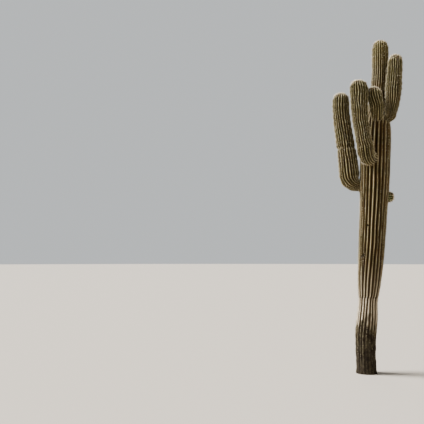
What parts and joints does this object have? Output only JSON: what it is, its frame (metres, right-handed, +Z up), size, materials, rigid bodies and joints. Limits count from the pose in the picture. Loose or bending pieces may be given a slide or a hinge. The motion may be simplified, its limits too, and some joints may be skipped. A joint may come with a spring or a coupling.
{
  "type": "saguaro cactus",
  "caption": "Tall ribbed desert cactus with a leaning trunk, upturned arms and one young round arm, rooted at ground level.",
  "frame": {"origin": "middle of the flat cut under the trunk, at ground level", "axes": "+Z up along the plant, +X towards its right arm, and -Y towards the side that carries the short arm"},
  "size_m": [1.1445, 0.9353, 5.985],
  "materials": {
    "trunk_flesh": "waxy ribbed skin, corky grey-brown at the foot, pale spines along the ribs",
    "arm_flesh": "waxy ribbed skin, pale spines along the ribs",
    "young_flesh": "waxy ribbed skin of new growth, dense spines"
  },
  "bodies": {
    "root": {"trunk": "trunk_flesh", "outer_arm_elbow": "arm_flesh", "outer_arm": "arm_flesh", "inner_arm_elbow": "arm_flesh", "inner_arm": "arm_flesh", "short_arm_elbow": "arm_flesh", "short_arm": "arm_flesh", "right_arm_elbow": "arm_flesh", "right_arm": "arm_flesh", "arm_bud": "young_flesh"}
  },
  "joints": []
}
